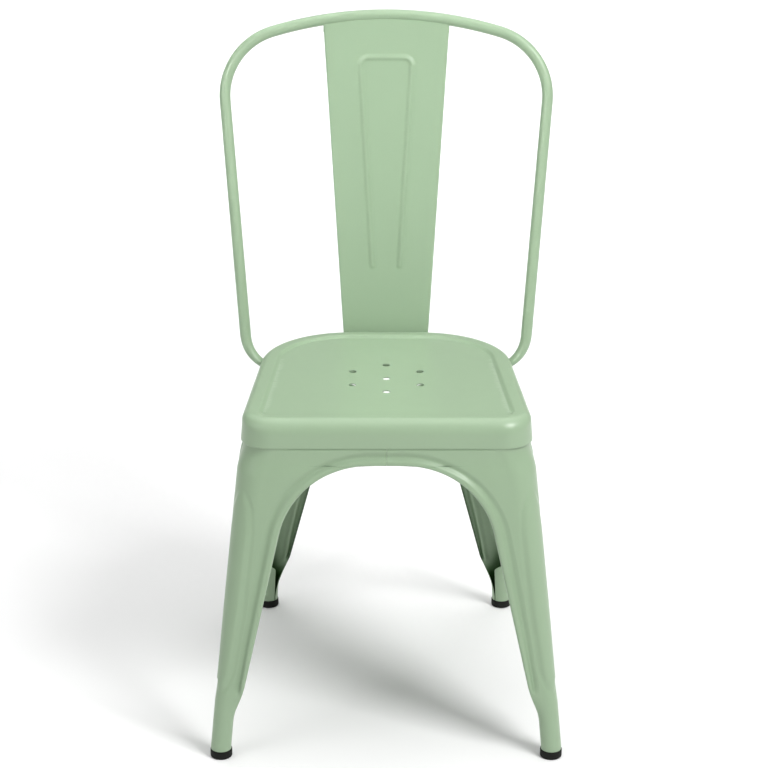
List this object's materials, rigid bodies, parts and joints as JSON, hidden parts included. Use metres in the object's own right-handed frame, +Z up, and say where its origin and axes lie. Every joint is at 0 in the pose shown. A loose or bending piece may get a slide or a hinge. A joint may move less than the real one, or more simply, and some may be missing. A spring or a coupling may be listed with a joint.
{
  "type": "stacking chair",
  "caption": "Pressed-steel stacking side chair with a tubular hoop back, a central back splat and splayed sheet legs.",
  "frame": {"origin": "on the floor under the middle of the chair's bounding box", "axes": "+Z up; -Y towards the front of the seat, +Y towards the backrest; +X to the right seen from the front"},
  "size_m": [0.451, 0.4992, 0.8703],
  "materials": {
    "powder_coat": "satin mint-green powder coat",
    "rubber": "matt black"
  },
  "bodies": {
    "root": {"seat_pan": "powder_coat", "front_left_leg": "powder_coat", "front_right_leg": "powder_coat", "rear_left_leg": "powder_coat", "rear_right_leg": "powder_coat", "back_hoop": "powder_coat", "back_splat": "powder_coat", "brace_upper_strip": "powder_coat", "brace_lower_strip": "powder_coat", "front_left_foot": "rubber", "front_right_foot": "rubber", "rear_left_foot": "rubber", "rear_right_foot": "rubber"}
  },
  "joints": []
}
